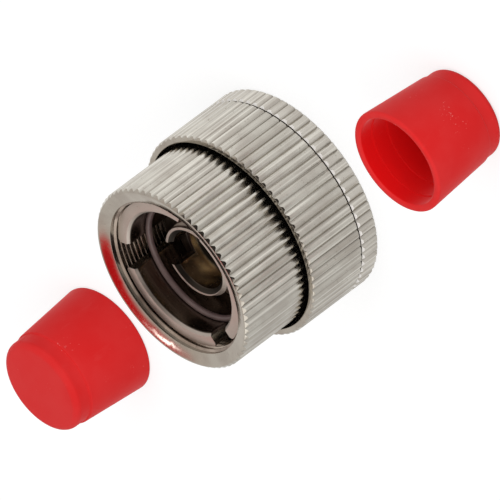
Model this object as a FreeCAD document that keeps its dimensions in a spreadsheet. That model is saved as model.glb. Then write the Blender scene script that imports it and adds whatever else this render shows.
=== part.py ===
import FreeCAD, Part
import os
import re

import Sketcher

# Variable optical attenuator of the adapter kind, with its two dust caps taken off.
# Row frame: origin at the centre of the rear face, +Z along the axis to the open mouth.
# Turning the adjusting collar drives three lugs of the carriage along the slots of the body's
# tube, which moves the front barrel away from the rear one and opens the gap between the fibres.

doc = FreeCAD.newDocument("variable_attenuator")
sheet = doc.addObject("Spreadsheet::Sheet", "Sizes")

# Driving dimensions in millimetres, angles in degrees, counts as they are. Radii are built
# outwards from the ferrule sleeve by walls and gaps, heights upwards from the rear face.
sizes = [
    ("sleeve_inner", "1.25", "inside of the split sleeve"),
    ("sleeve_wall", "0.35", "wall of the split sleeve"),
    ("sleeve_slit", "17", "angle of the sleeve's slit"),
    ("lip_step", "0.15", "sleeve's inside to the hole in the lips that keep it"),
    ("lip_height", "0.4", "thickness of the rear lip"),
    ("holder_wall", "0.65", "wall of the sleeve holder"),
    ("holder_flange_land", "0.6", "reach of the sleeve holder's flange"),
    ("holder_flange_height", "0.5", "thickness of that flange"),
    ("holder_nut_width", "0.8", "width of the sleeve holder's nut"),
    ("holder_nut_height", "0.5", "height of that nut"),
    ("sleeve_cap_height", "0.7", "thickness of the sleeve cap"),
    ("hub_rim", "0.7", "rear barrel's hub round the holder's nut"),
    ("floor_land", "0.3", "port's floor round the holder's flange"),
    ("barrel_wall", "0.8", "wall of a threaded barrel"),
    ("rim_step", "0.12", "outer chamfer at a barrel's rim, across"),
    ("rim_drop", "0.25", "outer chamfer at a barrel's rim, along"),
    ("bore_chamfer", "0.42", "inner chamfer at a barrel's rim"),
    ("key_width", "2.6", "width of a key slot"),
    ("key_depth", "2.6", "depth of a key slot"),
    ("hub_wall", "1.2", "wall of the front barrel's hub"),
    ("hub_overhang", "0.5", "hub behind the carriage nut"),
    ("seat_land", "0.7", "front barrel's shoulder beyond its thread"),
    ("seat_height", "0.5", "thickness of that shoulder"),
    ("barrel_reach", "3.28", "front barrel from its shoulder to its rim"),
    ("nut_width", "1.1", "width of the carriage nut"),
    ("nut_height", "0.7", "height of the carriage nut"),
    ("nut_gap", "0.8", "web to the carriage nut at rest"),
    ("spring_gap", "0.7", "carriage nut to the return spring"),
    ("spring_width", "0.6", "width of the return spring's flat wire"),
    ("spring_wire", "0.2", "thickness of that wire"),
    ("spring_turns", "3", "turns of the return spring"),
    ("spring_room", "0.8", "return spring to the tube's bore"),
    ("tube_wall", "1.4", "wall of the slotted tube"),
    ("tube_recess", "1.1", "tube's end below the collar's mouth"),
    ("tube_chamfer", "0.3", "inner chamfer at the tube's end"),
    ("slot_count", "3", "slots round the tube"),
    ("slot_width", "2.9", "width of a slot"),
    ("slot_angle", "53", "direction of the first slot and of the key slots"),
    ("slot_floor_gap", "0.1", "lug to the blind end of its slot at rest"),
    ("plate_thickness", "1.8", "thickness of the carriage plate"),
    ("lug_overlap", "1.9", "inner end of the carriage lugs within the disc"),
    ("lug_reach", "0.1", "reach of the carriage lugs past the tube"),
    ("stop_ring_depth", "3.65", "stop ring's centre below the mouth"),
    ("stop_ring_inset", "0.2", "stop ring's centre line to the tube's bore"),
    ("stop_ring_section", "0.32", "section radius of the stop ring"),
    ("stop_groove", "0.36", "half width of the stop ring's groove"),
    ("stem_shoulder", "1.2", "tube to the stem that carries the lock ring"),
    ("stem_rise", "0.1", "stem's shoulder above the counterbore's floor"),
    ("slot_round", "0.4", "rounding of the slots' outer edges"),
    ("web_thickness", "1.0", "web between the two ports"),
    ("recess_step", "0.2", "recess round the rear barrel beyond the tube's bore"),
    ("flange_base", "4.7", "height of the rear barrel's flange"),
    ("flange_height", "1.0", "thickness of that flange"),
    ("rear_floor", "3.2", "height of the rear barrel's floor"),
    ("ring_nut_width", "1.5", "width of the rear ring nut"),
    ("ring_nut_height", "0.6", "height of the rear ring nut"),
    ("ring_nut_notch", "1.3", "width of the ring nut's spanner notches"),
    ("pin_radius", "0.4", "alignment pin"),
    ("pin_length", "1.4", "length of the alignment pin"),
    ("pin_land", "1.65", "hole in the web to the alignment pin's centre"),
    ("counterbore_width", "1.16", "stem to the lock ring's counterbore"),
    ("snap_gap", "0.3", "slots' blind ends to the snap ring below them"),
    ("ring_lip", "0.71", "counterbore to the lock ring's crests"),
    ("ring_cover", "2.82", "lock ring over the collar's tail"),
    ("band_height", "2.1", "height of the knurled rear band"),
    ("washer_thickness", "0.6", "thickness of the friction washer"),
    ("thrust_height", "0.7", "thickness of the thrust washer"),
    ("collar_gap", "0.41", "counterbore to the collar's crests"),
    ("tube_gap", "0.4", "tube to the root of the collar's thread"),
    ("mouth_land", "0.4", "collar's crests to the mouth's chamfer"),
    ("mouth_depth", "0.4", "depth of the mouth's chamfer"),
    ("front_rim_depth", "3.27", "front barrel's rim below the mouth"),
    ("rim_chamfer", "0.27", "chamfer on the collar's front edge"),
    ("snap_rise", "0.85", "collar's rear face to the snap ring"),
    ("snap_thickness", "0.8", "thickness of the snap ring"),
    ("snap_seat", "0.35", "depth of the snap ring in the tube"),
    ("snap_reach", "0.3", "depth of the snap ring in the collar"),
    ("snap_split", "14", "angle left open in the snap ring"),
    ("running_gap", "0.1", "clearance of what turns or slides"),
    ("seat_gap", "0.05", "clearance of what is fixed in a seat"),
    ("knurl_count", "70", "teeth round each knurled piece"),
    ("knurl_depth", "0.28", "depth of a knurl valley"),
    ("knurl_width", "0.7", "width of a knurl valley at the crests"),
    ("knurl_margin", "0.4", "how far the valley cutter stands out of the crests"),
    ("edge_chamfer", "0.18", "chamfer on the knurled edges"),
    ("cap_length", "9.6", "length of a dust cap"),
    ("cap_fit", "0.4", "thread to the cap's bore behind its inner step"),
    ("cap_wall", "0.53", "wall of the skirt above the closed end"),
    ("cap_inner_step", "0.18", "inner step of the cap"),
    ("cap_counterbore_step", "0.15", "counterbore beyond the cap's bore"),
    ("cap_counterbore_depth", "1.6", "depth of that counterbore"),
    ("cap_waist_depth", "3.4", "depth of the inner step below the mouth"),
    ("cap_lip_wall", "0.8", "wall of the cap at its mouth"),
    ("cap_band_step", "0.16", "step from the skirt to the closed end"),
    ("cap_band_height", "1.9", "height of that end band"),
    ("cap_corner", "0.75", "rounding of the closed end"),
    ("cap_lip", "0.3", "chamfer on the mouth's outer edge"),
    ("cap_lip_inner", "0.2", "chamfer on the mouth's inner edge"),
    ("cap_floor", "1.2", "thickness of a cap's end"),
    ("cap_floor_chamfer", "0.4", "chamfer in the cap's inner corner"),
    ("front_cap_growth", "1.07", "front cap's radii as a multiple of the rear cap's"),
    ("front_cap_x", "-0.78", "where the front cap stands"),
    ("front_cap_y", "46.3", "where the front cap stands"),
    ("rear_cap_x", "-3.85", "where the rear cap stands"),
    ("rear_cap_y", "-34.2", "where the rear cap stands"),
]
for row, (alias, number, meaning) in enumerate(sizes, start=1):
    sheet.set(f"A{row}", meaning)
    sheet.set(f"B{row}", number)
    sheet.setAlias(f"B{row}", alias)
doc.recompute()

# Radii and heights that follow from the driving dimensions
derived = {
    "sleeve_outer": "sleeve_inner + sleeve_wall",
    "lip_radius": "sleeve_inner + lip_step",
    "holder_bore": "sleeve_outer + seat_gap",
    "holder_radius": "holder_bore + holder_wall",
    "holder_flange": "holder_radius + holder_flange_land",
    "holder_nut_radius": "holder_radius + holder_nut_width",
    "rear_hub_radius": "holder_nut_radius + hub_rim",
    "web_hole": "rear_hub_radius + seat_gap",
    "pin_circle": "web_hole + pin_land",
    "barrel_bore": "holder_flange + floor_land",
    "barrel_radius": "barrel_bore + barrel_wall",
    "barrel_rim_outer": "barrel_radius - rim_step",
    "barrel_rim_inner": "barrel_bore + bore_chamfer",
    "hub_radius": "holder_radius + hub_wall",
    "seat_radius": "barrel_radius + seat_land",
    "nut_radius": "hub_radius + nut_width",
    "spring_inner": "nut_radius + spring_gap",
    "spring_outer": "spring_inner + spring_width",
    "tube_bore": "spring_outer + spring_room",
    "tube_radius": "tube_bore + tube_wall",
    "lug_root": "tube_bore - lug_overlap",
    "lug_radius": "tube_radius + lug_reach",
    "stop_ring_radius": "tube_bore - stop_ring_inset",
    "recess_radius": "tube_bore + recess_step",
    "flange_radius": "recess_radius - running_gap",
    "ring_nut_bore": "recess_radius - ring_nut_width",
    "stem_radius": "tube_radius + stem_shoulder",
    "counterbore_radius": "stem_radius + counterbore_width",
    "ring_radius": "counterbore_radius + ring_lip",
    "collar_radius": "counterbore_radius - collar_gap",
    "collar_bore": "tube_radius + tube_gap",
    "mouth_radius": "collar_radius - mouth_land",
    "snap_inner": "tube_radius - snap_seat",
    "snap_outer": "collar_bore + snap_reach",
    "web_base": "flange_base + flange_height",
    "web_top": "web_base + web_thickness",
    "plate_base": "web_top + nut_gap + nut_height",
    "plate_top": "plate_base + plate_thickness",
    "hub_end": "plate_base - nut_height - hub_overhang",
    "front_floor": "plate_top + seat_height",
    "front_rim": "front_floor + barrel_reach",
    "total_height": "front_rim + front_rim_depth",
    "holder_top": "front_floor - sleeve_cap_height - running_gap",
    "flange_seat": "rear_floor + holder_flange_height",
    "slot_floor": "plate_base - slot_floor_gap",
    "snap_top": "slot_floor - snap_gap",
    "snap_base": "snap_top - snap_thickness",
    "collar_base": "snap_base - snap_rise",
    "stem_top": "collar_base - seat_gap - thrust_height",
    "counterbore_floor": "stem_top - stem_rise",
    "ring_top": "collar_base + ring_cover",
    "cap_waist": "barrel_radius + cap_fit",
    "cap_bore": "cap_waist + cap_inner_step",
    "cap_counterbore": "cap_bore + cap_counterbore_step",
    "cap_mouth": "cap_counterbore + cap_lip_wall",
    "cap_skirt": "cap_waist + cap_wall",
    "cap_band": "cap_skirt - cap_band_step",
}


def full(expression):
    # names in a short expression become references to the sheet's cells
    def place(word):
        name = word.group(0)
        return "(" + full(derived[name]) + ")" if name in derived else "Sizes." + name

    return re.sub(r"[a-z][a-z_]*", place, expression)


def value(expression):
    return float(sheet.evalExpression(full(expression)))


def bind(item, **settings):
    for name, expression in settings.items():
        item.setExpression(name, full(expression))


def origin_feature(body, role):
    return next(item for item in body.Origin.OriginFeatures if item.Role == role)


def new_body(name):
    body = doc.addObject("PartDesign::Body", "Body_" + name)
    body.Label = name
    return body


def tie(sketch, point, direction, expression):
    # holds one corner at a sheet distance along one sketch axis
    axis = -2 if direction == "X" else -1
    if expression == "0":
        sketch.addConstraint(Sketcher.Constraint("PointOnObject", point, 1, axis))
        return
    held = Sketcher.Constraint("Distance" + direction, -1, 1, point, 1, value(expression))
    number = sketch.addConstraint(held)
    sketch.setExpression(f"Constraints[{number}]", full(expression))


def outline(body, name, role, corners):
    # closed outline of straight edges, each corner given as two sheet expressions
    sketch = body.newObject("Sketcher::SketchObject", name)
    sketch.AttachmentSupport = [(origin_feature(body, role), "")]
    sketch.MapMode = "FlatFace"
    points = [FreeCAD.Vector(value(across), value(up), 0) for across, up in corners]
    for start, end in zip(points, points[1:] + points[:1]):
        sketch.addGeometry(Part.LineSegment(start, end), False)
    for line in range(len(points)):
        following = (line + 1) % len(points)
        sketch.addConstraint(Sketcher.Constraint("Coincident", line, 2, following, 1))
    for point, (across, up) in enumerate(corners):
        tie(sketch, point, "X", across)
        tie(sketch, point, "Y", up)
    return sketch


def turned(body, corners, angle="360"):
    # solid turned about the Z axis from a section of radii and heights
    section = outline(body, body.Label + "_section", "XZ_Plane", corners)
    solid = body.newObject("PartDesign::Revolution", body.Label + "_turned")
    solid.Profile = section
    solid.ReferenceAxis = (section, ["V_Axis"])
    bind(solid, Angle=angle)
    doc.recompute()
    return solid


def cut(body, name, corners, height=None, reach=None):
    # pocket upwards from a flat outline; height lifts the outline off the body's base plane
    flat = outline(body, name + "_outline", "XY_Plane", corners)
    if height:
        flat.setExpression("AttachmentOffset.Base.z", full(height))
    before = body.Shape.Volume
    pocket = body.newObject("PartDesign::Pocket", name)
    pocket.Profile = flat
    pocket.Reversed = True
    if reach:
        pocket.Type = "Length"
        bind(pocket, Length=reach)
    else:
        pocket.Type = "ThroughAll"
    doc.recompute()
    if body.Shape.Volume >= before:
        raise ValueError(name + " cuts nothing")
    return pocket


def turn_feature_outline(pocket, angle):
    # turns the outline of a pocket about the Z axis
    flat = pocket.Profile[0]
    flat.setExpression("AttachmentOffset.Rotation.Angle", full(angle))


def repeated(body, feature, count):
    pattern = body.newObject("PartDesign::PolarPattern", feature.Label + "_round")
    pattern.Originals = [feature]
    pattern.Axis = (origin_feature(body, "Z_Axis"), [""])
    pattern.Angle = 360
    bind(pattern, Occurrences=count)
    body.Tip = pattern
    doc.recompute()
    return pattern


def knurl(body, radius, reach=None):
    # straight knurl: one V valley cut along the piece and repeated round it
    half = "knurl_width / 2 * (knurl_depth + knurl_margin) / knurl_depth"
    corners = [
        (radius + " - knurl_depth", "0"),
        (radius + " + knurl_margin", half),
        (radius + " + knurl_margin", "-(" + half + ")"),
    ]
    valley = cut(body, body.Label + "_valley", corners, reach=reach)
    return repeated(body, valley, "knurl_count")


def rounded(body, name, edges, radius):
    before = body.Tip
    fillet = body.newObject("PartDesign::Fillet", name)
    fillet.Base = (before, edges)
    bind(fillet, Radius=radius)
    body.Tip = fillet
    doc.recompute()
    return fillet


def round_edges_at(shape, radius, height):
    # names of the full circles of a given radius at a given height
    near = value("seat_gap") / 2
    found = []
    for number, edge in enumerate(shape.Edges, start=1):
        curve = edge.Curve
        if not isinstance(curve, Part.Circle):
            continue
        if abs(curve.Radius - radius) < near and abs(curve.Center.z - height) < near:
            found.append(f"Edge{number}")
    return found


def upright_edges_at(shape, radius):
    # names of the straight edges along the axis at a given distance from it
    near = value("seat_gap") / 2
    found = []
    for number, edge in enumerate(shape.Edges, start=1):
        first, last = edge.Vertexes[0].Point, edge.Vertexes[-1].Point
        upright = isinstance(edge.Curve, Part.Line) and abs(edge.Curve.Direction.z) > 0.999
        if upright and abs(first.z - last.z) > near and abs(first.x ** 2 + first.y ** 2 - radius ** 2) < near:
            found.append(f"Edge{number}")
    return found


def main_body():
    # rear band, stem and slotted tube turned from one bar, with a web between the two ports
    body = new_body("main_body")
    tube_end = "total_height - tube_recess"
    groove_low = "total_height - stop_ring_depth - stop_groove"
    groove_high = "total_height - stop_ring_depth + stop_groove"
    groove_radius = "stop_ring_radius + stop_groove"
    turned(
        body,
        [
            ("recess_radius", "0"),
            ("ring_radius - edge_chamfer", "0"),
            ("ring_radius", "edge_chamfer"),
            ("ring_radius", "band_height - edge_chamfer"),
            ("ring_radius - edge_chamfer", "band_height"),
            ("stem_radius", "band_height"),
            ("stem_radius", "stem_top"),
            ("tube_radius", "stem_top"),
            ("tube_radius", "snap_base"),
            ("snap_inner - seat_gap", "snap_base"),
            ("snap_inner - seat_gap", "snap_top"),
            ("tube_radius", "snap_top"),
            ("tube_radius", tube_end),
            ("tube_bore + tube_chamfer", tube_end),
            ("tube_bore", tube_end + " - tube_chamfer"),
            ("tube_bore", groove_high),
            (groove_radius, groove_high),
            (groove_radius, groove_low),
            ("tube_bore", groove_low),
            ("tube_bore", "web_top"),
            ("web_hole", "web_top"),
            ("web_hole", "web_base"),
            ("recess_radius", "web_base"),
        ],
    )
    knurl(body, "ring_radius", reach="band_height")
    sides = [
        ("tube_bore - slot_width / 2", "-slot_width / 2"),
        ("tube_radius + running_gap", "-slot_width / 2"),
        ("tube_radius + running_gap", "slot_width / 2"),
        ("tube_bore - slot_width / 2", "slot_width / 2"),
    ]
    slot = cut(body, "tube_slot", sides, height="slot_floor")
    turn_feature_outline(slot, "slot_angle")
    repeated(body, slot, "slot_count")
    rounded(body, "slot_edges", upright_edges_at(body.Shape, value("tube_radius")), "slot_round")
    hole_for_pin(body, "web_base", "pin_length / 2")
    return body


def hole_for_pin(body, height, depth):
    # blind hole for half of the alignment pin, opposite the key slot
    circle = body.newObject("Sketcher::SketchObject", body.Label + "_pin_outline")
    circle.AttachmentSupport = [(origin_feature(body, "XY_Plane"), "")]
    circle.MapMode = "FlatFace"
    radius, across = "pin_radius + seat_gap", "pin_circle"
    centre = FreeCAD.Vector(value(across), 0, 0)
    circle.addGeometry(Part.Circle(centre, FreeCAD.Vector(0, 0, 1), value(radius)), False)
    circle.addConstraint(Sketcher.Constraint("PointOnObject", 0, 3, -1))
    held = [
        (Sketcher.Constraint("Radius", 0, value(radius)), radius),
        (Sketcher.Constraint("DistanceX", -1, 1, 0, 3, value(across)), across),
    ]
    for constraint, expression in held:
        number = circle.addConstraint(constraint)
        circle.setExpression(f"Constraints[{number}]", full(expression))
    circle.setExpression("AttachmentOffset.Base.z", full(height))
    circle.setExpression("AttachmentOffset.Rotation.Angle", full("slot_angle + 180"))
    before = body.Shape.Volume
    hole = body.newObject("PartDesign::Pocket", body.Label + "_pin_hole")
    hole.Profile = circle
    hole.Reversed = True
    hole.Type = "Length"
    bind(hole, Length=depth)
    doc.recompute()
    if body.Shape.Volume >= before:
        raise ValueError(body.Label + " pin hole cuts nothing")
    return hole


def adjusting_collar():
    # front knurled collar: chamfered mouth, long threaded bore, groove for the snap ring
    body = new_body("adjusting_collar")
    groove_low = "snap_base - running_gap"
    groove_high = "snap_top + running_gap"
    turned(
        body,
        [
            ("collar_bore", "collar_base"),
            ("collar_radius - edge_chamfer", "collar_base"),
            ("collar_radius", "collar_base + edge_chamfer"),
            ("collar_radius", "total_height - rim_chamfer"),
            ("collar_radius - rim_chamfer", "total_height"),
            ("mouth_radius", "total_height"),
            ("collar_bore", "total_height - mouth_depth"),
            ("collar_bore", groove_high),
            ("snap_outer + running_gap", groove_high),
            ("snap_outer + running_gap", groove_low),
            ("collar_bore", groove_low),
        ],
    )
    knurl(body, "collar_radius")
    return body


def lock_ring():
    # wide rear collar with a counterbore that takes the tail of the adjusting collar
    body = new_body("lock_ring")
    base = "band_height + running_gap"
    turned(
        body,
        [
            ("stem_radius + seat_gap", base),
            ("ring_radius - edge_chamfer", base),
            ("ring_radius", base + " + edge_chamfer"),
            ("ring_radius", "ring_top - edge_chamfer"),
            ("ring_radius - edge_chamfer", "ring_top"),
            ("counterbore_radius", "ring_top"),
            ("counterbore_radius", "counterbore_floor"),
            ("stem_radius + seat_gap", "counterbore_floor"),
        ],
    )
    knurl(body, "ring_radius")
    return body


def flat_ring(name, inner, outer, base, top, angle="360"):
    body = new_body(name)
    turned(body, [(inner, base), (outer, base), (outer, top), (inner, top)], angle)
    return body


def collar_snap_ring():
    # split ring, half in the tube's groove and half in the collar's
    return flat_ring("collar_snap_ring", "snap_inner", "snap_outer", "snap_base", "snap_top", "360 - snap_split")


def thrust_washer():
    inner = "tube_radius + seat_gap"
    return flat_ring("thrust_washer", inner, "stem_radius - seat_gap", "stem_top", "stem_top + thrust_height")


def friction_washer():
    inner = "stem_radius + running_gap"
    outer = "counterbore_radius - running_gap"
    top = "counterbore_floor + washer_thickness"
    return flat_ring("friction_washer", inner, outer, "counterbore_floor", top)


def stop_ring():
    # round-section ring in the tube's bore, where the carriage ends its travel
    ring = doc.addObject("Part::Torus", "Body_stop_ring")
    ring.Label = "stop_ring"
    bind(ring, Radius1="stop_ring_radius", Radius2="stop_ring_section")
    ring.setExpression("Placement.Base.z", full("total_height - stop_ring_depth"))
    doc.recompute()
    return ring


def key_slot(body, height, reach):
    # slot through the barrel's wall for the key of a fibre connector
    sides = [
        ("barrel_bore - key_width / 2", "-key_width / 2"),
        ("barrel_radius + running_gap", "-key_width / 2"),
        ("barrel_radius + running_gap", "key_width / 2"),
        ("barrel_bore - key_width / 2", "key_width / 2"),
    ]
    slot = cut(body, body.Label + "_key_slot", sides, height=height, reach=reach)
    turn_feature_outline(slot, "slot_angle")
    doc.recompute()
    return slot


def front_barrel():
    # front receptacle: threaded barrel, shoulder on the carriage plate, hub guided on the holder
    body = new_body("front_barrel")
    turned(
        body,
        [
            ("holder_radius + running_gap", "hub_end"),
            ("hub_radius", "hub_end"),
            ("hub_radius", "plate_top"),
            ("seat_radius", "plate_top"),
            ("seat_radius", "front_floor"),
            ("barrel_radius", "front_floor"),
            ("barrel_radius", "front_rim - rim_drop"),
            ("barrel_rim_outer", "front_rim"),
            ("barrel_rim_inner", "front_rim"),
            ("barrel_bore", "front_rim - bore_chamfer"),
            ("barrel_bore", "front_floor"),
            ("holder_radius + running_gap", "front_floor"),
        ],
    )
    key_slot(body, "front_rim - key_depth", "key_depth + running_gap")
    return body


def carriage_plate():
    # disc in the tube's bore with one lug through each slot
    body = new_body("carriage_plate")
    disc = "tube_bore - running_gap"
    bore = "hub_radius + seat_gap"
    turned(body, [(bore, "plate_base"), (disc, "plate_base"), (disc, "plate_top"), (bore, "plate_top")])
    lug_half = "slot_width / 2 - running_gap"
    sides = [
        ("lug_root", "-(" + lug_half + ")"),
        ("lug_radius", "-(" + lug_half + ")"),
        ("lug_radius", lug_half),
        ("lug_root", lug_half),
    ]
    flat = outline(body, "lug_outline", "XY_Plane", sides)
    flat.setExpression("AttachmentOffset.Base.z", full("plate_base"))
    flat.setExpression("AttachmentOffset.Rotation.Angle", full("slot_angle"))
    lug = body.newObject("PartDesign::Pad", "lug")
    lug.Profile = flat
    bind(lug, Length="plate_thickness")
    doc.recompute()
    repeated(body, lug, "slot_count")
    return body


def carriage_nut():
    inner = "hub_radius + seat_gap"
    return flat_ring("carriage_nut", inner, "nut_radius", "plate_base - nut_height", "plate_base")


def return_spring():
    # flat-wire coil between the web and the carriage plate, shown as short as it gets
    body = new_body("return_spring")
    high = "web_top + spring_wire"
    corners = [
        ("spring_inner", "web_top"),
        ("spring_outer", "web_top"),
        ("spring_outer", high),
        ("spring_inner", high),
    ]
    section = outline(body, "wire_section", "XZ_Plane", corners)
    coil = body.newObject("PartDesign::AdditiveHelix", "coil")
    coil.Profile = section
    coil.ReferenceAxis = (section, ["V_Axis"])
    coil.Mode = "height-turns-angle"
    bind(coil, Height="plate_base - web_top - spring_wire", Turns="spring_turns")
    doc.recompute()
    return body


def rear_barrel():
    # rear receptacle: same barrel and key slot, flange in the recess, hub in the web
    body = new_body("rear_barrel")
    nut_seat = "web_top - holder_nut_height"
    turned(
        body,
        [
            ("barrel_rim_inner", "0"),
            ("barrel_rim_outer", "0"),
            ("barrel_radius", "rim_drop"),
            ("barrel_radius", "flange_base"),
            ("flange_radius", "flange_base"),
            ("flange_radius", "web_base"),
            ("rear_hub_radius", "web_base"),
            ("rear_hub_radius", "web_top"),
            ("holder_nut_radius + seat_gap", "web_top"),
            ("holder_nut_radius + seat_gap", nut_seat),
            ("holder_radius + seat_gap", nut_seat),
            ("holder_radius + seat_gap", "flange_seat"),
            ("holder_flange + seat_gap", "flange_seat"),
            ("holder_flange + seat_gap", "rear_floor"),
            ("barrel_bore", "rear_floor"),
            ("barrel_bore", "bore_chamfer"),
        ],
    )
    key_slot(body, None, "key_depth")
    hole_for_pin(body, "web_base - pin_length / 2", "pin_length / 2")
    return body


def rear_barrel_nut():
    # ring nut screwed into the recess behind the flange, with two spanner notches
    body = flat_ring(
        "rear_barrel_nut",
        "ring_nut_bore",
        "recess_radius - seat_gap",
        "flange_base - ring_nut_height",
        "flange_base",
    )
    for number, side in enumerate(("", "-"), start=1):
        inner = side + "(ring_nut_bore - running_gap)"
        outer = side + "(recess_radius + running_gap)"
        corners = [
            (inner, "-ring_nut_notch / 2"),
            (outer, "-ring_nut_notch / 2"),
            (outer, "ring_nut_notch / 2"),
            (inner, "ring_nut_notch / 2"),
        ]
        low = "flange_base - ring_nut_height"
        cut(body, f"notch_{number}", corners, height=low, reach="ring_nut_height / 2")
    return body


def alignment_pin():
    pin = doc.addObject("Part::Cylinder", "Body_alignment_pin")
    pin.Label = "alignment_pin"
    bind(pin, Radius="pin_radius", Height="pin_length")
    pin.setExpression("Placement.Base.x", full("pin_circle") + " * cos(Sizes.slot_angle * 1 deg + 180 deg)")
    pin.setExpression("Placement.Base.y", full("pin_circle") + " * sin(Sizes.slot_angle * 1 deg + 180 deg)")
    pin.setExpression("Placement.Base.z", full("web_base - pin_length / 2"))
    doc.recompute()
    return pin


def sleeve_holder():
    # flanged tube through the rear barrel, its flange flush with the barrel's floor
    body = new_body("sleeve_holder")
    turned(
        body,
        [
            ("lip_radius", "rear_floor"),
            ("holder_flange", "rear_floor"),
            ("holder_flange", "flange_seat"),
            ("holder_radius", "flange_seat"),
            ("holder_radius", "holder_top"),
            ("holder_bore", "holder_top"),
            ("holder_bore", "rear_floor + lip_height"),
            ("lip_radius", "rear_floor + lip_height"),
        ],
    )
    return body


def holder_nut():
    inner = "holder_radius + seat_gap / 2"
    return flat_ring("holder_nut", inner, "holder_nut_radius", "web_top - holder_nut_height", "web_top")


def sleeve_cap():
    top = "holder_top + sleeve_cap_height"
    return flat_ring("sleeve_cap", "lip_radius", "holder_radius", "holder_top", top)


def split_sleeve():
    # ceramic sleeve with one slit, loose between the holder's lip and the cap
    base = "rear_floor + lip_height"
    top = "holder_top - seat_gap"
    return flat_ring("split_sleeve", "sleeve_inner", "sleeve_outer", base, top, "360 - sleeve_slit")


def dust_cap(name, growth):
    # soft cap: tapered skirt, step down to the closed end, stepped bore
    body = new_body(name)
    section = [
        ("0", "0"),
        ("cap_band", "0"),
        ("cap_band", "cap_band_height"),
        ("cap_skirt", "cap_band_height"),
        ("cap_mouth", "cap_length - cap_lip"),
        ("cap_mouth - cap_lip", "cap_length"),
        ("cap_counterbore + cap_lip_inner", "cap_length"),
        ("cap_counterbore", "cap_length - cap_lip_inner"),
        ("cap_counterbore", "cap_length - cap_counterbore_depth"),
        ("cap_bore", "cap_length - cap_counterbore_depth"),
        ("cap_bore", "cap_length - cap_waist_depth"),
        ("cap_waist", "cap_length - cap_waist_depth"),
        ("cap_waist", "cap_floor + cap_floor_chamfer"),
        ("cap_waist - cap_floor_chamfer", "cap_floor"),
        ("0", "cap_floor"),
    ]
    grown = [(across if across == "0" else growth + " * (" + across + ")", up) for across, up in section]
    turned(body, grown)
    end_edges = round_edges_at(body.Shape, value(growth + " * cap_band"), 0)
    rounded(body, name + "_corner", end_edges, "cap_corner")
    return body


def stand(cap, across, along):
    cap.setExpression("Placement.Base.x", full(across))
    cap.setExpression("Placement.Base.y", full(along))
    doc.recompute()


def turn_over(cap):
    # stands the cap on its mouth
    cap.Placement.Rotation = FreeCAD.Rotation(FreeCAD.Vector(1, 0, 0), 180)
    cap.setExpression("Placement.Base.z", full("cap_length"))
    doc.recompute()


front_cap = dust_cap("front_cap", "front_cap_growth")
turn_over(front_cap)
stand(front_cap, "front_cap_x", "front_cap_y")
rear_cap = dust_cap("rear_cap", "1")
stand(rear_cap, "rear_cap_x", "rear_cap_y")

pieces = [
    main_body(),
    adjusting_collar(),
    lock_ring(),
    collar_snap_ring(),
    thrust_washer(),
    friction_washer(),
    stop_ring(),
    front_barrel(),
    carriage_plate(),
    carriage_nut(),
    return_spring(),
    rear_barrel(),
    rear_barrel_nut(),
    alignment_pin(),
    sleeve_holder(),
    holder_nut(),
    sleeve_cap(),
    split_sleeve(),
    front_cap,
    rear_cap,
]
doc.recompute()

faults = []
for item in doc.Objects:
    if "Invalid" in item.State or "Error" in item.State:
        faults.append(f"{item.Label}: {item.State}")
for piece in pieces:
    if piece.Shape.isNull() or not piece.Shape.isValid() or len(piece.Shape.Solids) != 1:
        faults.append(piece.Label + ": not one valid solid")
if faults:
    raise ValueError("; ".join(faults))

os.makedirs("parts", exist_ok=True)
for piece in pieces:
    piece.Shape.exportStep(f"parts/{piece.Label}.step")
    box = piece.Shape.BoundBox
    print(f"{piece.Label:18s} volume {piece.Shape.Volume:9.2f}  z {box.ZMin:6.2f} to {box.ZMax:6.2f}")
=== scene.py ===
import math

import bpy
from mathutils import Matrix, Vector


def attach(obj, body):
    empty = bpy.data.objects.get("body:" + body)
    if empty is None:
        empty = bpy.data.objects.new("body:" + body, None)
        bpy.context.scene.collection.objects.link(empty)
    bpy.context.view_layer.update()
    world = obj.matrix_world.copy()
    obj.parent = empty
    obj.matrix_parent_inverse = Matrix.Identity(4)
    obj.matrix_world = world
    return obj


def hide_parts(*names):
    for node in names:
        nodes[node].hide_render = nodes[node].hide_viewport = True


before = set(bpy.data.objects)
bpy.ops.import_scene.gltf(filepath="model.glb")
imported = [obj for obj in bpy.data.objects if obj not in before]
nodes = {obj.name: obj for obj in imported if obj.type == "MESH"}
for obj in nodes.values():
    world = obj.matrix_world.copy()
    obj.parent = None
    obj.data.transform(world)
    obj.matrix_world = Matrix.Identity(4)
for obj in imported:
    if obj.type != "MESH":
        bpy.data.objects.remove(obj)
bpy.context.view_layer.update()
mm = 0.001

# Selecting and shaping pieces

meshWork = {
    "near": 1e-6,  # metres within which a corner counts as lying on a loop
    "weld": 1e-7,  # metres within which corners of a new piece are merged
    "cadWeld": 1e-6,  # the same for a copy of a CAD node
    "flat": 0.8,  # degrees under which a copy's triangles are joined
    "smooth": 32,  # degrees under which faces are shaded as one
}


def deselectAll():
    if bpy.context.mode != "OBJECT":
        bpy.ops.object.mode_set(mode="OBJECT")
    bpy.ops.object.select_all(action="DESELECT")


def activate(piece):
    deselectAll()
    piece.select_set(True)
    bpy.context.view_layer.objects.active = piece


def editAll(piece):
    activate(piece)
    bpy.ops.object.mode_set(mode="EDIT")
    bpy.ops.mesh.select_all(action="SELECT")


def objectMode():
    bpy.ops.object.mode_set(mode="OBJECT")


def newPrimitive(name):
    # names what an operator has just added
    piece = bpy.context.active_object
    piece.name = piece.data.name = name
    return piece


def applyModifier(piece, kind, settings):
    activate(piece)
    modifier = piece.modifiers.new(kind.title(), kind)
    for name, value in settings.items():
        setattr(modifier, name, value)
    bpy.ops.object.modifier_apply(modifier=modifier.name)


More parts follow.
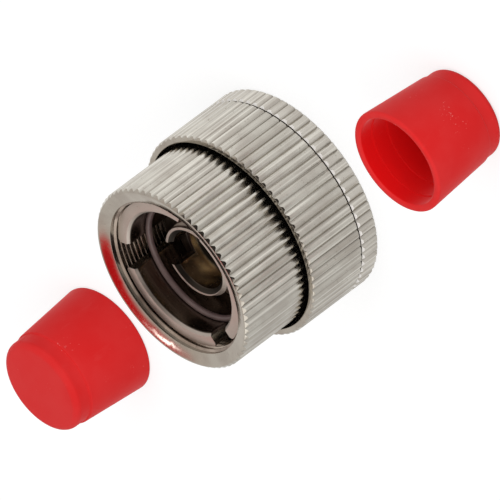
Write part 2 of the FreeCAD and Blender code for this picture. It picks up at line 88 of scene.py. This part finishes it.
def smoothShading(piece, angle=meshWork["smooth"]):
    activate(piece)
    bpy.ops.object.shade_smooth_by_angle(angle=math.radians(angle))


def softenEdges(piece, width, segments, angle):
    # breaks every sharp edge, as plating and tumbling do
    applyModifier(piece, "BEVEL", {
        "width": width * mm,
        "segments": segments,
        "limit_method": "ANGLE",
        "angle_limit": math.radians(angle),
        "use_clamp_overlap": True,
        "miter_outer": "MITER_ARC",
    })


def selectLoops(piece, radius, height):
    # edge loops of a turned piece that lie at one radius and height
    activate(piece)
    bpy.ops.object.mode_set(mode="EDIT")
    bpy.ops.mesh.select_mode(type="EDGE")
    bpy.ops.mesh.select_all(action="DESELECT")
    objectMode()
    near = []
    for point in piece.data.vertices:
        aside = abs(math.hypot(point.co.x, point.co.y) - radius * mm)
        above = abs(point.co.z - height * mm)
        near.append(max(aside, above) < meshWork["near"])
    for edge in piece.data.edges:
        edge.select = near[edge.vertices[0]] and near[edge.vertices[1]]
    bpy.ops.object.mode_set(mode="EDIT")


def roundLoop(piece, radius, height, width, segments):
    selectLoops(piece, radius, height)
    bpy.ops.mesh.bevel(offset=width * mm, segments=segments, affect="EDGES")
    objectMode()


def turnedPiece(name, profile, steps):
    # a disc whose rim is drawn out and scaled from corner to corner of the section
    deselectAll()
    radius, height = profile[0]
    bpy.ops.mesh.primitive_circle_add(
        vertices=steps, radius=radius * mm, fill_type="TRIFAN", location=(0, 0, height * mm)
    )
    piece = newPrimitive(name)
    bpy.ops.object.transform_apply(location=True, rotation=True, scale=True)
    bpy.ops.object.mode_set(mode="EDIT")
    bpy.ops.mesh.select_mode(type="EDGE")
    bpy.ops.mesh.select_all(action="DESELECT")
    bpy.ops.mesh.select_non_manifold()
    for (fromRadius, fromHeight), (toRadius, toHeight) in zip(profile, profile[1:]):
        rise = (toHeight - fromHeight) * mm
        grow = toRadius / fromRadius
        bpy.ops.mesh.extrude_region_move(TRANSFORM_OT_translate={"value": (0, 0, rise)})
        bpy.ops.transform.resize(value=(grow, grow, 1), center_override=(0, 0, 0))
    bpy.ops.mesh.extrude_region_move(TRANSFORM_OT_translate={"value": (0, 0, 0)})
    bpy.ops.mesh.merge(type="CENTER")
    bpy.ops.mesh.select_all(action="SELECT")
    bpy.ops.mesh.remove_doubles(threshold=meshWork["weld"])
    bpy.ops.mesh.normals_make_consistent(inside=False)
    objectMode()
    return piece


def nodeCopy(nodeName, name):
    # own copy of a CAD node's mesh, with its loose triangles joined to clean faces
    piece = bpy.data.objects.new(name, nodes[nodeName].data.copy())
    piece.data.name = name
    bpy.context.scene.collection.objects.link(piece)
    activate(piece)
    if piece.data.has_custom_normals:
        bpy.ops.mesh.customdata_custom_splitnormals_clear()
    editAll(piece)
    bpy.ops.mesh.remove_doubles(threshold=meshWork["cadWeld"])
    bpy.ops.mesh.dissolve_limited(angle_limit=math.radians(meshWork["flat"]))
    objectMode()
    return piece


def threadHelix(name, section, pitch, base, turns, steps):
    # one closed section screwed up the axis, right-handed, with both ends closed
    deselectAll()
    bpy.ops.mesh.primitive_circle_add(vertices=len(section), radius=mm, location=(0, 0, 0))
    helix = newPrimitive(name)
    for point, (radius, height) in zip(helix.data.vertices, section):
        point.co = (radius * mm, 0, (base + height) * mm)
    applyModifier(helix, "SCREW", {
        "axis": "Z",
        "angle": math.tau,
        "screw_offset": pitch * mm,
        "iterations": turns,
        "steps": steps,
        "render_steps": steps,
        "use_merge_vertices": False,
    })
    editAll(helix)
    bpy.ops.mesh.remove_doubles(threshold=meshWork["weld"])
    bpy.ops.mesh.fill_holes(sides=len(section))
    bpy.ops.mesh.normals_make_consistent(inside=False)
    objectMode()
    return helix


def cutAway(piece, cutter):
    applyModifier(piece, "BOOLEAN", {"operation": "DIFFERENCE", "solver": "EXACT", "object": cutter})
    bpy.data.objects.remove(cutter)


def settle(piece, body, material, stoodFor=()):
    piece.data.materials.clear()
    piece.data.materials.append(material)
    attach(piece, body)
    if stoodFor:
        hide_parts(*stoodFor)


# Shader maths

noiseMean = 0.5
slopes = {
    # squares of the normal's rise, from where a mask is 0 to where it is 1
    "wall": (0.45, 0.2),
    "offWall": (0.25, 0.35),
    "offLevel": (0.85, 0.7),
}


class Wire:
    # one output socket, so that sums of sockets read as plain arithmetic
    def __init__(self, finish, socket):
        self.finish = finish
        self.socket = socket

    def combine(self, operation, first, second):
        return self.finish.node("ShaderNodeMath", {"operation": operation}, {0: first, 1: second})

    def __add__(self, other):
        return self.combine("ADD", self, other)

    def __sub__(self, other):
        return self.combine("SUBTRACT", self, other)

    def __rsub__(self, other):
        return self.combine("SUBTRACT", other, self)

    def __mul__(self, other):
        return self.combine("MULTIPLY", self, other)

    def __pow__(self, other):
        return self.combine("POWER", self, other)

    __radd__ = __add__
    __rmul__ = __mul__


class Finish:
    # one material or the world, built node by node
    def __init__(self, tree):
        self.tree = tree
        self.tree.nodes.clear()

    def node(self, kind, settings=None, inputs=None, output=0):
        made = self.tree.nodes.new(kind)
        for name, value in (settings or {}).items():
            setattr(made, name, value)
        for name, value in (inputs or {}).items():
            self.feed(made.inputs[name], value)
        return Wire(self, made.outputs[output]) if len(made.outputs) else None

    def feed(self, socket, value):
        if isinstance(value, Wire):
            self.tree.links.new(value.socket, socket)
        else:
            socket.default_value = value

    def place(self):
        return self.node("ShaderNodeTexCoord", output="Object")

    def split(self, vector):
        first = self.node("ShaderNodeSeparateXYZ", None, {0: vector})
        return [Wire(self, socket) for socket in first.socket.node.outputs]

    def radius(self, centre=(0, 0)):
        # distance in millimetres from an upright axis, the attenuator's own unless another is given
        across, along, _ = self.split(self.place())
        across = across - centre[0] * mm
        along = along - centre[1] * mm
        return (across * across + along * along) ** 0.5 * (1 / mm)

    def height(self):
        # millimetres above the plane that the attenuator stands on
        _, _, rise = self.split(self.place())
        return rise * (1 / mm)

    def levelness(self):
        # square of the normal's rise: 0 on walls that run along the axis, 1 on faces square to it
        _, _, rise = self.split(self.node("ShaderNodeNewGeometry", output="Normal"))
        return rise * rise

    def upright(self):
        # 1 on walls that run along the axis, 0 on faces square to it
        return self.band(self.levelness(), *slopes["wall"])

    def slanted(self):
        # 1 on chamfers, 0 on walls along the axis and on faces square to it
        levelness = self.levelness()
        return self.band(levelness, *slopes["offWall"]) * self.band(levelness, *slopes["offLevel"])

    def noise(self, scale, detail, roughness=0.5, stretch=(1, 1, 1)):
        mapped = self.node("ShaderNodeMapping", None, {"Vector": self.place(), "Scale": stretch})
        inputs = {"Vector": mapped, "Scale": scale, "Detail": detail, "Roughness": roughness}
        return self.node("ShaderNodeTexNoise", None, inputs)

    def band(self, value, low, high):
        # rises smoothly from 0 at the first level to 1 at the second, which may be the lower one
        inputs = {"Value": value, "From Min": low, "From Max": high}
        return self.node("ShaderNodeMapRange", {"interpolation_type": "SMOOTHSTEP"}, inputs)

    def spots(self, low, high, **pattern):
        return self.band(self.noise(**pattern), low, high)

    def mixColour(self, factor, first, second):
        return self.node("ShaderNodeMix", {"data_type": "RGBA"}, {0: factor, 6: first, 7: second}, 2)

    def bump(self, height, strength, depth):
        inputs = {"Height": height, "Strength": strength, "Distance": depth * mm}
        return self.node("ShaderNodeBump", None, inputs)

    def shownRay(self):
        # 1 for what the camera sees, straight, mirrored in metal or through glass
        kinds = ("Is Camera Ray", "Is Glossy Ray", "Is Transmission Ray")
        straight, mirrored, through = [self.node("ShaderNodeLightPath", output=kind) for kind in kinds]
        return straight + mirrored + through

    def mirroredRay(self):
        return self.node("ShaderNodeLightPath", output="Is Glossy Ray")


def newMaterial(name):
    material = bpy.data.materials.new(name)
    material.use_nodes = True
    return material, Finish(material.node_tree)


def surface(finish, inputs):
    shader = finish.node("ShaderNodeBsdfPrincipled", None, inputs)
    finish.node("ShaderNodeOutputMaterial", None, {"Surface": shader})


def colour(red, green, blue):
    return (red, green, blue, 1.0)


white = colour(1, 1, 1)

# Nickel plating; levels are the noise values between which a mask rises, and depths are millimetres

nickelLook = {
    "base": colour(0.52, 0.495, 0.44),
    "shade": colour(0.44, 0.407, 0.36),
    "roughness": 0.2,
    "patches": {"scale": 420, "detail": 3.0},
    "patchLevels": (0.35, 0.7),
    "patchDullness": 0.09,
    "patchRelief": 0.5,
    "grain": {"scale": 5200, "detail": 2.0, "stretch": (1, 1, 0.12)},
    "grainDullness": 0.12,
    "specks": {"scale": 3600, "detail": 1.0, "low": 0.70, "high": 0.76},
    "speck": colour(0.2, 0.16, 0.13),
    "speckShare": 0.35,
    "speckDullness": 0.2,
    "relief": {"strength": 0.12, "depth": 0.01},
}
knurlLook = {
    "streaks": {"scale": 3400, "detail": 1.0, "stretch": (1, 1, 0.015)},
    "streakDepth": (0.6, 0.5),
    # painted highlight and painted shade colours for the streaks along the teeth
    "streakHighlight": colour(0.76, 0.73, 0.66),
    "brightLevels": (0.54, 0.68),
    "brightShare": 0.6,
    "streakShade": colour(0.3, 0.26, 0.215),
    "dimLevels": (0.46, 0.34),
    "dimShare": 0.35,
    # painted shade colour for the knurl grooves
    "valley": colour(0.2, 0.175, 0.15),
    "valleyTop": (0.12, 0.29),
    "valleyFloor": (0.5, 0.35),
    "valleyShare": 0.55,
    # painted glint colour for the knurl chamfers
    "glint": colour(0.86, 0.83, 0.79),
    "glintDepth": (0.32, 0.26),
}
rimLook = {"edge": 0.1, "slope": (0.5, 0.0), "gloss": 0.38}
boreLook = {
    # painted shade colour within bores
    "paintedBoreShade": colour(0.25, 0.195, 0.155),
    "boreShadeShare": 0.94,
    "edge": 0.08,
    # painted glow colour for the port barrels' bores
    "glow": colour(0.66, 0.58, 0.45),
    "clouds": {"scale": 620, "detail": 1.0, "low": 0.35, "high": 0.65},
    # painted shade on chamfers within bores
    "lip": colour(0.045, 0.038, 0.032),
    # painted shade tint for flat tube ends
    "end": colour(0.52, 0.46, 0.42),
    "endRadius": (8.6, 8.4),
    "endShare": 0.6,
    "endDullness": 0.25,
}


def knurlTint(finish, tint, crest):
    # random lighter and darker streaks along the teeth as painted highlight and painted shade, and painted
    # shade in the grooves between teeth
    depth = crest - finish.radius()
    walls = finish.upright()
    streaks = finish.noise(**knurlLook["streaks"])
    outside = walls * finish.band(depth, *knurlLook["streakDepth"])
    # painted highlight and painted shade in random streaks on the tooth walls
    paintedHighlights = finish.band(streaks, *knurlLook["brightLevels"]) * outside * knurlLook["brightShare"]
    paintedShades = finish.band(streaks, *knurlLook["dimLevels"]) * outside * knurlLook["dimShare"]
    # painted shade in the grooves between teeth
    valleys = finish.band(depth, *knurlLook["valleyTop"]) * finish.band(depth, *knurlLook["valleyFloor"])
    tint = finish.mixColour(paintedHighlights, tint, knurlLook["streakHighlight"])
    tint = finish.mixColour(paintedShades, tint, knurlLook["streakShade"])
    return finish.mixColour(valleys * walls * knurlLook["valleyShare"], tint, knurlLook["valley"])


def boreTint(finish, tint, bore, paintedBoreShade, glow):
    # painted shade within the bore radius, a painted glow in patches between the glow heights, and painted
    # shade on chamfers within the bore
    inner = finish.band(finish.radius(), bore + boreLook["edge"], bore)
    tint = finish.mixColour(inner * boreLook["boreShadeShare"], tint, paintedBoreShade)
    if glow:
        # painted glow in patches between the glow heights
        paintedGlowPatches = finish.band(finish.height(), *glow) * finish.spots(**boreLook["clouds"])
        tint = finish.mixColour(inner * paintedGlowPatches, tint, boreLook["glow"])
    return finish.mixColour(inner * (1.0 - finish.upright()), tint, boreLook["lip"])


def nickelFinish(
    name,
    base=nickelLook["base"],
    shade=nickelLook["shade"],
    roughness=nickelLook["roughness"],
    crest=None,
    rim=None,
    bore=None,
    paintedBoreShade=boreLook["paintedBoreShade"],
    glow=None,
    wearAndPaintedGlints=False,
):
    # bright plating with slow patches of tint, fine turning marks and a few dull specks; crest is a
    # knurl's outer radius, and outside the rim radius the faces square to the axis shine more
    material, finish = newMaterial(name)
    patches = finish.noise(**nickelLook["patches"])
    grain = finish.noise(**nickelLook["grain"])
    specks = finish.spots(**nickelLook["specks"])
    tint = finish.mixColour(finish.band(patches, *nickelLook["patchLevels"]), base, shade)
    tint = finish.mixColour(specks * nickelLook["speckShare"], tint, nickelLook["speck"])
    dull = roughness + (patches - noiseMean) * nickelLook["patchDullness"]
    dull = dull + (grain - noiseMean) * nickelLook["grainDullness"] + specks * nickelLook["speckDullness"]
    metal = 1.0
    if crest:
        tint = knurlTint(finish, tint, crest)
    if rim:
        level = finish.band(finish.upright(), *rimLook["slope"])
        outside = finish.band(finish.radius(), rim, rim + rimLook["edge"])
        dull = dull * (1.0 - level * outside * rimLook["gloss"])
    if bore:
        # flat tube ends, duller than the walls and painted a little darker and warmer as painted shade
        end = finish.band(finish.radius(), *boreLook["endRadius"]) * (1.0 - finish.upright())
        tint = finish.mixColour(end * boreLook["endShare"], tint, boreLook["end"])
        dull = dull + end * boreLook["endDullness"]
        tint = boreTint(finish, tint, bore, paintedBoreShade, glow)
    if wearAndPaintedGlints:
        # painted glints: chamfers between the knurl grooves are painted near white and made less metallic,
        # so the lamps light them white
        paintedGlints = finish.slanted() * finish.band(crest - finish.radius(), *knurlLook["glintDepth"])
        tint = finish.mixColour(paintedGlints, tint, knurlLook["glint"])
        metal = 1.0 - paintedGlints
    surface(finish, {
        "Base Color": tint,
        "Metallic": metal,
        "Roughness": dull,
        "Normal": finish.bump(grain + patches * nickelLook["patchRelief"], **nickelLook["relief"]),
    })
    return material


nickelCollar = nickelFinish("nickelCollar", crest=10.05, rim=8.4)
nickelRing = nickelFinish("nickelRing", crest=11.17)
# the body gets painted glints on its knurl chamfers, and painted shade within its tube bore and on its flat
# tube ends
nickelBody = nickelFinish(
    "nickelBody", colour(0.57, 0.54, 0.485), colour(0.5, 0.465, 0.415), crest=11.17, bore=6.72, wearAndPaintedGlints=True
)
# the collar's thread is painted darker and browner than the collar, as painted shade for its place within
# the bore
nickelThreadShaded = nickelFinish("nickelThreadShaded", colour(0.5, 0.43, 0.37), colour(0.24, 0.19, 0.16))
# the port barrels get painted shade within the bore and a painted glow between the glow heights
nickelBarrel = nickelFinish("nickelBarrel", bore=3.56, paintedBoreShade=colour(0.27, 0.22, 0.18), glow=(13.3, 12.4))
# inner nickel pieces are painted near black-brown as painted shade within the attenuator
nickelInnerShaded = nickelFinish("nickelInnerShaded", colour(0.2, 0.165, 0.145), colour(0.13, 0.105, 0.09), 0.3)

# Plain finishes of the small pieces

plainLook = {
    "patches": {"scale": 900, "detail": 3.0, "low": 0.3, "high": 0.7},
    "grain": {"scale": 6500, "detail": 2.0},
    "grainDullness": 0.16,
    "relief": {"strength": 0.1, "depth": 0.01},
}


def plainFinish(name, base, other, roughness, metallic=0.0):
    material, finish = newMaterial(name)
    patches = finish.spots(**plainLook["patches"])
    grain = finish.noise(**plainLook["grain"])
    surface(finish, {
        "Base Color": finish.mixColour(patches, base, other),
        "Metallic": metallic,
        "Roughness": roughness + (grain - noiseMean) * plainLook["grainDullness"],
        "Normal": finish.bump(grain, **plainLook["relief"]),
    })
    return material


brassPlain = plainFinish("brassPlain", colour(0.62, 0.47, 0.24), colour(0.5, 0.36, 0.17), 0.3, 1.0)
springWire = plainFinish("springWire", colour(0.42, 0.41, 0.4), colour(0.3, 0.29, 0.28), 0.28, 1.0)
# washers are painted near black so the gap above them reads as painted shade
washerPaintedShade = plainFinish("washerPaintedShade", colour(0.02, 0.018, 0.017), colour(0.03, 0.027, 0.025), 0.5)
stopRubber = plainFinish("stopRubber", colour(0.115, 0.074, 0.07), colour(0.15, 0.098, 0.09), 0.3)
whiteCeramic = plainFinish("whiteCeramic", colour(0.8, 0.78, 0.72), colour(0.74, 0.71, 0.65), 0.2)
print("stage: finishes")

# Knurled collars and slotted body

knurled = {
    "edges": {"width": 0.06, "segments": 3, "angle": 25},
    "mouth": {"radius": 9.65, "height": 17.05, "width": 0.04, "segments": 2},
}


def knurledPiece(nodeName, name, body, material, roundMouth=False):
    piece = nodeCopy(nodeName, name)
    if roundMouth:
        roundLoop(piece, **knurled["mouth"])
    softenEdges(piece, **knurled["edges"])
    smoothShading(piece)
    settle(piece, body, material, (nodeName,))


knurledPiece("adjusting_collar", "collarShell", "collar", nickelCollar, roundMouth=True)
knurledPiece("lock_ring", "lockRingShell", "lock", nickelRing)
knurledPiece("main_body", "slottedBody", "body", nickelBody)
print("stage: knurled pieces")

# Thread in the bore of the adjusting collar

collarThread = {
    "root": 8.52,
    "crest": 8.27,
    "half": 0.2,
    "flat": 0.04,
    "pitch": 0.5,
    "base": 8.44,
    "turns": 16,
    "steps": 96,
    "smooth": 40,
}

section = [
    (collarThread["root"], -collarThread["half"]),
    (collarThread["crest"], -collarThread["flat"]),
    (collarThread["crest"], collarThread["flat"]),
    (collarThread["root"], collarThread["half"]),
]
helix = threadHelix(
    "collarThread",
    section,
    collarThread["pitch"],
    collarThread["base"],
    collarThread["turns"],
    collarThread["steps"],
)
smoothShading(helix, collarThread["smooth"])
settle(helix, "collar", nickelThreadShaded)
print("stage: collar thread")

# Threaded barrels of the two ports

portThread = {
    "root": 3.56,
    "out": 4.05,
    "flat": 0.04,
    "half": 0.34,
    "pitch": 0.75,
    "steps": 72,
    "edges": {"width": 0.04, "segments": 2, "angle": 35},
}
ports = {
    "frontBarrelThreaded": {"nodeName": "front_barrel", "body": "carriage", "base": 11.05, "turns": 4},
    "rearBarrelThreaded": {"nodeName": "rear_barrel", "body": "body", "base": -0.35, "turns": 6},
}


def threadedBarrel(name, nodeName, body, base, turns):
    piece = nodeCopy(nodeName, name)
    softenEdges(piece, **portThread["edges"])
    section = [
        (portThread["root"], -portThread["flat"]),
        (portThread["out"], -portThread["half"]),
        (portThread["out"], portThread["half"]),
        (portThread["root"], portThread["flat"]),
    ]
    cutter = threadHelix("threadCutter", section, portThread["pitch"], base, turns, portThread["steps"])
    cutAway(piece, cutter)
    smoothShading(piece)
    settle(piece, body, nickelBarrel, (nodeName,))


for name, port in ports.items():
    threadedBarrel(name, **port)
print("stage: barrels")

# Dust caps

capShape = {"length": 9.6, "mouth": 4.73, "hub": 1.2, "floor": 1.2, "steps": 144, "smooth": 40}
capCorners = [
    # radius, height, width and segments of the rounded corner
    (capShape["hub"], 0.0, 0.0, 0),
    (4.77, 0.0, 0.72, 8),
    (4.77, 1.9, 0.07, 2),
    (4.93, 1.9, 0.13, 3),
    (5.53, capShape["length"], 0.3, 5),
    (capShape["mouth"], capShape["length"], 0.25, 4),
    (capShape["mouth"], 8.0, 0.05, 2),
    (4.58, 8.0, 0.06, 2),
    (4.58, 6.2, 0.05, 2),
    (4.4, 6.2, 0.08, 2),
    (4.4, capShape["floor"], 0.45, 4),
    (capShape["hub"], capShape["floor"], 0.0, 0),
]
# place is where a cap's axis stands, and hollow the heights between which the painted shade within the cap
# reaches full strength
caps = {
    "frontDustCap": {
        "nodeName": "front_cap",
        "place": (-0.78, 46.3),
        "growth": 1.07,
        "mouthDown": True,
        "hollow": (9.2, 8.8),
        "mirrored": True,
    },
    "rearDustCap": {
        "nodeName": "rear_cap",
        "place": (-3.85, -34.2),
        "growth": 1.0,
        "mouthDown": False,
        "hollow": (0.4, 0.8),
        "mirrored": False,
    },
}
capLook = {
    "base": colour(0.76, 0.021, 0.021),
    "scuffed": colour(0.78, 0.06, 0.06),
    # deeper red for within the cap, painted shade
    "inside": colour(0.7, 0.002, 0.003),
    "insideShare": 0.9,
    "insideEdge": 0.03,
    "roughness": 0.5,
    "specular": 0.1,
    "mottle": {"scale": 260, "detail": 3.0},
    "mottleLevels": (0.3, 0.7),
    "mottleShare": 0.25,
    "mottleDullness": 0.1,
    "mottleRelief": 2.0,
    "scuffs": {
        "scale": 900,
        "detail": 4.0,
        "roughness": 0.6,
        "stretch": (1, 1, 0.25),
        "low": 0.6,
        "high": 0.72,
    },
    "scuffShare": 0.22,
    "scuffDullness": 0.12,
    "wearAndPaintedGlints": {"scale": 310, "detail": 2.0, "low": 0.6, "high": 0.68},
    "specks": {"scale": 5200, "detail": 1.0, "low": 0.69, "high": 0.73},
    "speck": colour(0.85, 0.4, 0.38),
    "speckShare": 0.35,
    "grain": {"scale": 7000, "detail": 3.0},
    "relief": {"strength": 0.12, "depth": 0.02},
}


def capFinish(name, place, mouth, hollow):
    # soft moulded plastic with faint mottling, specks and scuffs, and a deeper red within the cap that is
    # painted shade
    material, finish = newMaterial(name)
    mottle = finish.noise(**capLook["mottle"])
    scuffs = finish.spots(**capLook["scuffs"])
    specks = finish.spots(**capLook["specks"]) * finish.spots(**capLook["wearAndPaintedGlints"])
    faint = finish.band(mottle, *capLook["mottleLevels"]) * capLook["mottleShare"]
    tint = finish.mixColour(faint, capLook["base"], capLook["scuffed"])
    tint = finish.mixColour(scuffs * capLook["scuffShare"], tint, capLook["scuffed"])
    tint = finish.mixColour(specks * capLook["speckShare"], tint, capLook["speck"])
    # painted shade: deeper red within the cap's mouth radius and hollow heights
    inside = finish.band(finish.radius(place), mouth + capLook["insideEdge"], mouth)
    inside = inside * finish.band(finish.height(), *hollow)
    tint = finish.mixColour(inside * capLook["insideShare"], tint, capLook["inside"])
    dull = capLook["roughness"] + (mottle - noiseMean) * capLook["mottleDullness"]
    dull = dull + scuffs * capLook["scuffDullness"]
    relief = finish.noise(**capLook["grain"]) + mottle * capLook["mottleRelief"]
    surface(finish, {
        "Base Color": tint,
        "Roughness": dull,
        "Specular IOR Level": capLook["specular"],
        "Normal": finish.bump(relief, **capLook["relief"]),
    })
    return material


def dustCap(name, nodeName, place, growth, mouthDown, hollow, mirrored):
    piece = turnedPiece(name, [corner[:2] for corner in capCorners], capShape["steps"])
    for radius, height, width, segments in capCorners:
        if width:
            roundLoop(piece, radius, height, width, segments)
    piece.data.transform(Matrix.Diagonal((growth, growth, 1, 1)))
    if mouthDown:
        turned = Matrix.Rotation(math.pi, 4, "X")
        piece.data.transform(Matrix.Translation((0, 0, capShape["length"] * mm)) @ turned)
    piece.data.transform(Matrix.Translation((place[0] * mm, place[1] * mm, 0)))
    smoothShading(piece, capShape["smooth"])
    piece.visible_glossy = mirrored
    plastic = capFinish(name, place, capShape["mouth"] * growth, hollow)
    settle(piece, "body", plastic, (nodeName,))


for name, cap in caps.items():
    dustCap(name, **cap)
print("stage: dust caps")

# Stop ring in the tube

stopRing = {"radius": 6.5, "section": 0.32, "height": 13.4, "steps": 144, "sectionSteps": 24, "smooth": 60}

deselectAll()
bpy.ops.mesh.primitive_torus_add(
    location=(0, 0, stopRing["height"] * mm),
    major_radius=stopRing["radius"] * mm,
    minor_radius=stopRing["section"] * mm,
    major_segments=stopRing["steps"],
    minor_segments=stopRing["sectionSteps"],
)
ring = newPrimitive("stopRingRubber")
bpy.ops.object.transform_apply(location=True, rotation=True, scale=True)
smoothShading(ring, stopRing["smooth"])
settle(ring, "body", stopRubber, ("stop_ring",))

# CAD nodes that keep their own shape

nodeFinishes = {
    "collar_snap_ring": springWire,
    "thrust_washer": washerPaintedShade,
    "friction_washer": washerPaintedShade,
    "carriage_plate": nickelInnerShaded,
    "carriage_nut": nickelInnerShaded,
    "return_spring": springWire,
    "rear_barrel_nut": nickelInnerShaded,
    "alignment_pin": springWire,
    "sleeve_holder": brassPlain,
    "holder_nut": brassPlain,
    "sleeve_cap": brassPlain,
    "split_sleeve": whiteCeramic,
}
for nodeName, material in nodeFinishes.items():
    nodes[nodeName].data.materials.clear()
    nodes[nodeName].data.materials.append(material)
print("stage: inner pieces")

# Pale floor just under the part; metal mirrors it darker towards -X

floorLook = {
    "size": 6.0,  # metres
    "drop": 0.02,
    "colour": colour(0.4, 0.4, 0.4),
    "glow": 0.72,
    "fall": (-0.03, 0.03),  # metres along X
    "fallLow": -0.22,
    "fallGain": 0.34,
}

deselectAll()
bpy.ops.mesh.primitive_plane_add(size=floorLook["size"], location=(0, 0, -floorLook["drop"] * mm))
floor = newPrimitive("paleFloor")
material, finish = newMaterial("paleFloor")
across, _, _ = finish.split(finish.place())
falling = finish.band(across, *floorLook["fall"]) * floorLook["fallGain"] + floorLook["fallLow"]
strength = finish.shownRay() * floorLook["glow"] + finish.mirroredRay() * falling
diffuse = finish.node("ShaderNodeBsdfDiffuse", None, {"Color": floorLook["colour"]})
glow = finish.node("ShaderNodeEmission", None, {"Color": white, "Strength": strength})
both = finish.node("ShaderNodeAddShader", None, {0: diffuse, 1: glow})
finish.node("ShaderNodeOutputMaterial", None, {"Surface": both})
floor.data.materials.append(material)

# World: white light, which metal mirrors as a warm grey sky with three patches

skyLook = {"seen": 1.0, "light": 0.68, "around": colour(0.76, 0.72, 0.69)}
# a patch rises to full between these levels of the mirrored direction's parts; east is +X, north +Y
skyPatches = {
    "overhead": {
        "tint": colour(0.7, 0.63, 0.58),
        "levels": {"rise": (0.55, 0.75)},
    },
    "behindCamera": {
        "tint": colour(0.045, 0.038, 0.034),
        "levels": {"north": (0.05, -0.3), "rise": (0.25, 0.5), "eastSquared": (0.36, 0.2)},
    },
    "brightScreen": {
        "tint": colour(1.5, 1.46, 1.42),
        "levels": {"east": (-0.55, -0.75), "rise": (0.35, 0.5)},
    },
}

world = bpy.data.worlds.new("studioWorld")
world.use_nodes = True
bpy.context.scene.world = world
finish = Finish(world.node_tree)
shown = finish.band(finish.shownRay(), 0.0, 1.0)
strength = shown * (skyLook["seen"] - skyLook["light"]) + skyLook["light"]
mirrored = finish.mirroredRay()
east, north, rise = finish.split(finish.place())
directions = {"east": east, "north": north, "rise": rise, "eastSquared": east * east}
skyTint = finish.mixColour(mirrored, white, skyLook["around"])
for patch in skyPatches.values():
    mask = mirrored
    for direction, levels in patch["levels"].items():
        mask = mask * finish.band(directions[direction], *levels)
    skyTint = finish.mixColour(mask, skyTint, patch["tint"])
sky = finish.node("ShaderNodeBackground", None, {"Color": skyTint, "Strength": strength})
finish.node("ShaderNodeOutputWorld", None, {"Surface": sky})

# Soft lamps, aimed at the part and not mirrored in it; places and sizes in metres

lamps = {
    "keyLamp": {"place": (-0.3, -0.55, 0.28), "size": 0.6, "power": 1.7},
    "fillLamp": {"place": (0.4, -0.4, 0.2), "size": 0.5, "power": 0.7},
}


def softLamp(name, place, size, power):
    data = bpy.data.lights.new(name, "AREA")
    data.shape = "DISK"
    data.size = size
    data.energy = power
    lamp = bpy.data.objects.new(name, data)
    bpy.context.scene.collection.objects.link(lamp)
    lamp.location = place
    lamp.rotation_euler = (-Vector(place)).to_track_quat("-Z", "Y").to_euler()
    lamp.visible_glossy = False


for name, lamp in lamps.items():
    softLamp(name, **lamp)

# Discs over the mouth that only shiny surfaces see; they fade out beyond the solid share of their radius

cards = {
    "redCard": {
        "place": (-2.4, 25.0, 49.0),
        "radius": 12.8,
        "solid": 0.4,
        "tint": colour(0.75, 0.003, 0.006),
        "strength": 1.0,
    },
    "brightCard": {
        "place": (3.4, 23.0, 46.0),
        "radius": 2.2,
        "solid": 0.3,
        "tint": colour(1.0, 0.86, 0.85),
        "strength": 5.5,
    },
}
cardSteps = 48


def mirroredCard(name, place, radius, solid, tint, strength):
    deselectAll()
    bpy.ops.mesh.primitive_circle_add(
        vertices=cardSteps, radius=radius * mm, fill_type="NGON", location=[length * mm for length in place]
    )
    card = newPrimitive(name)
    card.visible_camera = card.visible_diffuse = card.visible_shadow = card.visible_transmission = False
    material, finish = newMaterial(name)
    clear = finish.node("ShaderNodeBsdfTransparent")
    glow = finish.node("ShaderNodeEmission", None, {"Color": tint, "Strength": strength})
    fade = finish.band(finish.radius(), radius, radius * solid)
    both = finish.node("ShaderNodeMixShader", None, {0: fade, 1: clear, 2: glow})
    finish.node("ShaderNodeOutputMaterial", None, {"Surface": both})
    card.data.materials.append(material)


for name, card in cards.items():
    mirroredCard(name, **card)

# Camera from the photograph: long lens, rolled so that the axis runs to the lower left

view = {
    "place": Vector((-2.214, -1315.484, 776.469)),
    "right": Vector((-0.59813, -0.40421, -0.69199)),
    "up": Vector((0.80140, -0.30169, -0.51648)),
    "forward": Vector((0.0, 0.86348, -0.50438)),
    "lens": 1144.8,
    "sensor": 36.0,
    "nearest": 0.01,  # metres
    "farthest": 20.0,  # metres
}

cameraData = bpy.data.cameras.new("photoCamera")
camera = bpy.data.objects.new("photoCamera", cameraData)
bpy.context.scene.collection.objects.link(camera)
cameraData.lens = view["lens"]
cameraData.sensor_width = view["sensor"]
cameraData.clip_start = view["nearest"]
cameraData.clip_end = view["farthest"]
axes = Matrix((view["right"], view["up"], -view["forward"])).transposed()
camera.matrix_world = Matrix.Translation(view["place"] * mm) @ axes.to_4x4()
bpy.context.scene.camera = camera
bpy.context.scene.view_settings.view_transform = "Standard"
print("stage: studio and camera")
